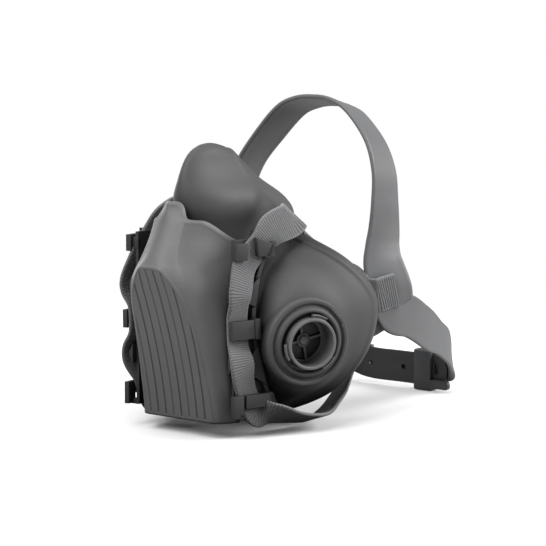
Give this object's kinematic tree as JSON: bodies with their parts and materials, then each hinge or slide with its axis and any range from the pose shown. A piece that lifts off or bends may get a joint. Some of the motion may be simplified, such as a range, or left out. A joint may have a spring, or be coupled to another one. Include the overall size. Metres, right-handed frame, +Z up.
{
  "type": "half-face respirator",
  "caption": "Half-face respirator with a rubber facepiece, fluted front cover over the outlet valve, bayonet inlets on the cheeks and a laced strap harness with a head cradle.",
  "frame": {"origin": "on the floor, under the middle of the whole part's box", "axes": "the wearer looks along -Y, +X is the wearer's left and +Z is up"},
  "size_m": [0.1178, 0.188, 0.1517],
  "materials": {
    "grey_rubber": "soft matte moulded rubber, grey",
    "cover_plastic": "fine satin moulded plastic, grey",
    "inner_plastic": "satin moulded plastic",
    "inlet_plastic": "smooth moulded plastic, grey",
    "valve_rubber": "smooth dark valve rubber",
    "frame_plastic": "satin moulded plastic, dark grey",
    "webbing": "cross-ribbed elastic webbing, light grey",
    "cradle_rubber": "soft satin band, grey",
    "strap_rubber": "soft dark strap",
    "buckle_plastic": "dark moulded plastic"
  },
  "bodies": {
    "mask": {"facepiece": "grey_rubber", "exhalation_seat": "inner_plastic", "exhalation_stud": "inner_plastic", "inlet_connector_right": "inlet_plastic", "inlet_connector_left": "inlet_plastic", "inlet_gasket_right": "valve_rubber", "inlet_gasket_left": "valve_rubber", "inhalation_stud_right": "inlet_plastic", "inhalation_stud_left": "inlet_plastic", "strap_frame_right": "frame_plastic", "strap_frame_left": "frame_plastic", "frame_pins_right": "frame_plastic", "frame_pins_left": "frame_plastic", "webbing_right": "webbing", "webbing_left": "webbing", "head_cradle": "cradle_rubber", "neck_strap": "strap_rubber"},
    "cover": {"front_cover": "cover_plastic"},
    "exhalation_valve": {"exhalation_flap": "valve_rubber"},
    "inhalation_valve_right": {"inhalation_flap_right": "valve_rubber"},
    "inhalation_valve_left": {"inhalation_flap_left": "valve_rubber"},
    "keeper": {"buckle": "buckle_plastic"}
  },
  "joints": [
    {"name": "cover_pull", "type": "slide", "parent": "mask", "child": "cover", "axis": [0, -1, 0], "range_m": [0, 0.012]},
    {"name": "exhalation_lift", "type": "slide", "parent": "mask", "child": "exhalation_valve", "axis": [0, -1, 0], "range_m": [0, 0.0025], "stiffness_N_per_m": 20},
    {"name": "inhalation_lift_right", "type": "slide", "parent": "mask", "child": "inhalation_valve_right", "axis": [0.9113, 0.4057, 0.0698], "range_m": [0, 0.002], "stiffness_N_per_m": 20},
    {"name": "inhalation_lift_left", "type": "slide", "parent": "mask", "child": "inhalation_valve_left", "axis": [-0.9113, 0.4057, 0.0698], "range_m": [0, 0.002], "stiffness_N_per_m": 20},
    {"name": "buckle_slide", "type": "slide", "parent": "mask", "child": "keeper", "axis": [-1, 0, 0], "range_m": [0, 0.021]}
  ]
}
